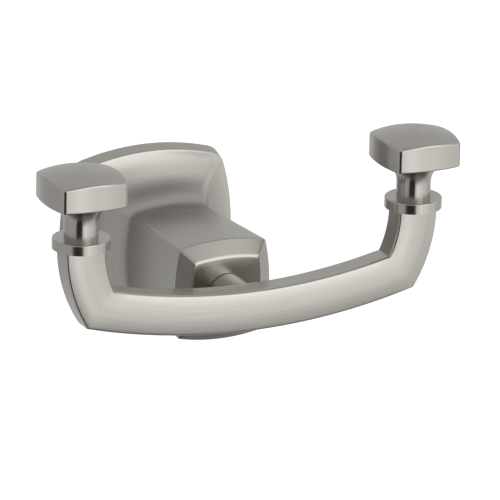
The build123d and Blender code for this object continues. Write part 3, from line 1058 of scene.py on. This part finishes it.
# %% [markdown]
# ## U-shaped bar
# The bar sags along one large arc, and each arm rises along a smaller one until it stands upright. Where the
# two arcs meet they don't blend: the casting has a mitre there, a sharp line across its corner. A curve with
# a bevel pinches its section at such a corner. So a second tree sweeps the section along both arcs, and
# works out for each point of the section where its own two arcs cross. Those crossings are the mitre.

# %% The bent bar tree
GRAIN_PER_STATION = 1.4


def arcs_cross(bar_reach, arm_reach, sag, dx, dz):
    """Where an arc about the bar's centre meets one about the arm's, in X and Z."""
    apart = (dx * dx + dz * dz).maths("SQRT")
    along = (bar_reach * bar_reach - arm_reach * arm_reach + apart * apart) / (apart * 2)
    aside = (bar_reach * bar_reach - along * along).maths("SQRT")
    return (along * dx - aside * dz) / apart, sag + (along * dz + aside * dx) / apart


def bent_bar_tree():
    """Sweeps a section along a sagging bar and up two arms, with a mitre between them."""
    tree, given = new_tree("bent_bar", {
        "Section": "Geometry", "Bar Radius": "Float", "Arm Radius": "Float", "Arm Spacing": "Float",
        "Arm Rise": "Float", "Back": "Float", "Blend": "Float", "Bar Steps": "Int", "Arm Steps": "Int",
        "Material": "Material"})
    rows = given["Bar Steps"] + given["Arm Steps"] * 2 + 1
    grid, station, column = lay_grid(tree, rows, count_points(given["Section"]))
    read = sampler(tree, given["Section"], column)
    offset, depth, run = read("half"), read("depth"), read("run")

    from_middle = station - (rows - 1) / 2
    way = abs(from_middle)
    half_bar = given["Bar Steps"] / 2
    past_bar = way - half_bar
    on_bar = past_bar < -HALF_STEP
    on_arm = past_bar > HALF_STEP
    blend = given["Blend"]
    along_bar = pick(on_bar, 1.0, (1 - blend) * way / (half_bar - 1))
    along_arm = on_arm * (blend + (1 - blend) * (past_bar - 1) / (given["Arm Steps"] - 1))

    sag = given["Bar Radius"]
    rise = given["Arm Rise"]
    bar_reach = sag + offset
    arm_reach = given["Arm Radius"] + offset
    dx = given["Arm Spacing"] / 2 - given["Arm Radius"]
    mitre_x, mitre_z = arcs_cross(bar_reach, arm_reach, sag, dx, rise - sag)
    swing = mitre_x.maths("ARCTAN2", sag - mitre_z) * along_bar
    lift = (mitre_z - rise).maths("ARCTAN2", mitre_x - dx) * (1 - along_arm)
    x = pick(on_arm, bar_reach * swing.maths("SINE"), dx + arm_reach * lift.maths("COSINE"))
    z = pick(on_arm, sag - bar_reach * swing.maths("COSINE"), rise + arm_reach * lift.maths("SINE"))
    position = place(tree, "ShaderNodeCombineXYZ", {}, {
        0: x * from_middle.maths("SIGN") * MM, 1: (given["Back"] + depth) * -MM, 2: z * MM})
    grain = place(tree, "ShaderNodeCombineXYZ", {}, {0: from_middle * GRAIN_PER_STATION, 1: run})
    end_tree(tree, grid, position, grain, read("edge"), given["Material"])
    return tree


bent_bar = bent_bar_tree()
print("bent bar tree:", len(bent_bar.nodes), "nodes")

# %% Section of the bar
BAR_HALF = 6.4
BAR_DEPTH = 7.9
BAR_CROWN = 0.95
BACK_ROUND = 0.6
FRONT_ROUND = 0.85
crown_radius = (BAR_HALF ** 2 + BAR_CROWN ** 2) / (2 * BAR_CROWN)
crown_centre = (0.0, BAR_DEPTH + BAR_CROWN - crown_radius)
back_flank = BAR_HALF - BACK_ROUND
flank = BAR_HALF - FRONT_ROUND
front_round = crown_centre[1] + math.sqrt((crown_radius - FRONT_ROUND) ** 2 - flank ** 2)
crown_edge = math.degrees(math.atan2(front_round - crown_centre[1], flank))
bar_pen = Pen()
bar_pen.dot(0.0, 0.0).line(back_flank, 0.0, steps=2)
bar_pen.arc((back_flank, BACK_ROUND), BACK_ROUND, -90, 0, steps=6, edge=RUBBED_AND_SHEEN)
bar_pen.line(BAR_HALF, front_round, steps=3)
bar_pen.arc((flank, front_round), FRONT_ROUND, 0, crown_edge, steps=6, edge=RUBBED_AND_SHEEN)
bar_pen.arc(crown_centre, crown_radius, crown_edge, 180 - crown_edge, steps=20)
bar_pen.arc((-flank, front_round), FRONT_ROUND, 180 - crown_edge, 180, steps=6, edge=RUBBED_AND_SHEEN)
bar_pen.line(-BAR_HALF, BACK_ROUND, steps=3)
bar_pen.arc((-back_flank, BACK_ROUND), BACK_ROUND, 180, 270, steps=6, edge=RUBBED_AND_SHEEN)
bar_pen.line(0.0, 0.0, steps=2)
print(f"bar's front is crowned on a radius of {crown_radius:.1f} mm, {len(bar_pen.points)} points")

# %% The bar with its boss and bores
SAG_RADIUS = 201.0
ARM_RADIUS = 40.4
BAR_BACK = 74.4
MITRE_BLEND = 0.12
BOSS_RADIUS = 6.2
BOSS_CHAMFER = 0.5
SPIGOT_HALF = 3.5
SPIGOT_LENGTH = 4.0
BOLT_REACH = 7.2
BOSS_BORE = 2.6
STUD_HOLE = 2.6
STUD_HOLE_DEPTH = 9.1

bar = through_tree(bar_pen.object("hook_bar_visual"), bent_bar, {
    "Bar Radius": SAG_RADIUS, "Arm Radius": ARM_RADIUS, "Arm Spacing": 2 * ARM_X, "Arm Rise": ARM_RISE,
    "Back": BAR_BACK, "Blend": MITRE_BLEND, "Bar Steps": 72, "Arm Steps": 20, "Material": drawn_nickel})
close_up(bar)
carve(bar, drawn_nickel, [
    ("UNION", "boss", rod((0, -POST_DEPTH, 0), (0, ARM_Y, 0), BOSS_RADIUS, BOSS_CHAMFER, sides=96)),
    ("UNION", "spigot", block((-SPIGOT_HALF, -POST_DEPTH - OVERCUT, -SPIGOT_HALF),
                              (SPIGOT_HALF, -POST_DEPTH + SPIGOT_LENGTH, SPIGOT_HALF))),
    ("DIFFERENCE", "bolt_bore", rod((0, -POST_DEPTH - BOLT_REACH, 0),
                                    (0, -POST_DEPTH + SPIGOT_LENGTH + OVERCUT, 0), BOSS_BORE)),
])
for hand, x in ARMS.items():
    bore = rod((x, ARM_Y, ARM_RISE - STUD_HOLE_DEPTH), (x, ARM_Y, ARM_RISE + OVERCUT), STUD_HOLE)
    carve(bar, drawn_nickel, [("DIFFERENCE", f"{hand}_bore", bore)])
smooth(bar)
report(bar)

# %% [markdown]
# ## The pieces behind the plate
# The bracket, the set screw and the bolt have the right shape in the solids, so they stay as they are and
# only get a finish. All three are plain steel. The bracket is paler and bluer than the plating, and the
# screws are darker. Nothing on them is bent, so their lines run straight across, in object space.

# %% Finish of the hidden pieces


def straight_lines(tree):
    """Along and across lines that run left and right, in millimetres."""
    x, y, z = split(place(tree, "ShaderNodeTexCoord", out="Object"))
    return x / MM, (y + z) / MM


pale_steel = brushed_metal("bracket_metal", straight_lines, (0.46, 0.47, 0.48), (0.58, 0.59, 0.60),
                           roughness=0.38, spread=0.16, scratch=0.35)
dark_steel = brushed_metal("screw_steel", straight_lines, (0.26, 0.26, 0.26), (0.36, 0.36, 0.35),
                           roughness=0.32, spread=0.12, scratch=0.3)
for node, metal in (("wall_bracket", pale_steel), ("set_screw", dark_steel), ("bar_bolt", dark_steel)):
    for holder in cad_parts[node].material_slots:
        holder.material = metal
    print(node, "has", [holder.material.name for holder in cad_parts[node].material_slots])

# %% [markdown]
# ## Riding on the frame
# Nothing on the hook moves, so every piece rides on the one body, root. Each new piece replaces the solid
# that it was drawn over: the solid is hidden and stays only for collision.

# %% Ride on the frame
for piece, node in ((post, "wall_post"), (bar, "hook_bar"), (finials["left"], "finial_left"),
                    (finials["right"], "finial_right")):
    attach(piece, "root")
    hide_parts(node)
    print(piece.name, "stands for", node)
